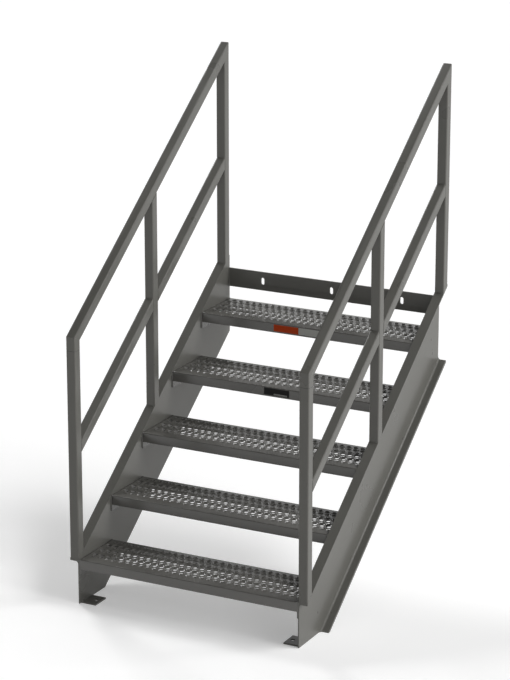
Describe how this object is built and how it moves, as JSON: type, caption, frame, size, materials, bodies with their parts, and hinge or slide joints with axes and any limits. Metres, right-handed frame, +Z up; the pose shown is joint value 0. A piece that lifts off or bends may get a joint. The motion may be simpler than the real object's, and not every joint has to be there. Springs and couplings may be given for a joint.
{
  "type": "industrial steel stair",
  "caption": "Straight welded steel stair with open risers, gripping plank treads, channel stringers and square-tube handrails, bolted to a landing edge.",
  "frame": {"origin": "centre of the landing bar's rear face, where the middle bolt slot is, in the plane of the landing edge", "axes": "+Y points from the stair into the landing, +X to the right of someone climbing, +Z up; the floor is below the origin by the height of the bar's centre"},
  "size_m": [0.9906, 1.2065, 1.9304],
  "materials": {
    "painted_frame": "satin grey paint",
    "painted_tread": "satin dark grey paint"
  },
  "bodies": {
    "root": {"landing_bar": "painted_frame", "left_back_post": "painted_frame", "left_end_plate_1": "painted_tread", "left_end_plate_2": "painted_tread", "left_end_plate_3": "painted_tread", "left_end_plate_4": "painted_tread", "left_end_plate_5": "painted_tread", "left_foot_plate": "painted_frame", "left_front_leg": "painted_frame", "left_front_post": "painted_frame", "left_handrail": "painted_frame", "left_lower_mid_rail": "painted_frame", "left_middle_post": "painted_frame", "left_stringer": "painted_frame", "left_upper_mid_rail": "painted_frame", "right_back_post": "painted_frame", "right_end_plate_1": "painted_tread", "right_end_plate_2": "painted_tread", "right_end_plate_3": "painted_tread", "right_end_plate_4": "painted_tread", "right_end_plate_5": "painted_tread", "right_foot_plate": "painted_frame", "right_front_leg": "painted_frame", "right_front_post": "painted_frame", "right_handrail": "painted_frame", "right_lower_mid_rail": "painted_frame", "right_middle_post": "painted_frame", "right_stringer": "painted_frame", "right_upper_mid_rail": "painted_frame", "tread_1": "painted_tread", "tread_2": "painted_tread", "tread_3": "painted_tread", "tread_4": "painted_tread", "tread_5": "painted_tread"}
  },
  "joints": []
}
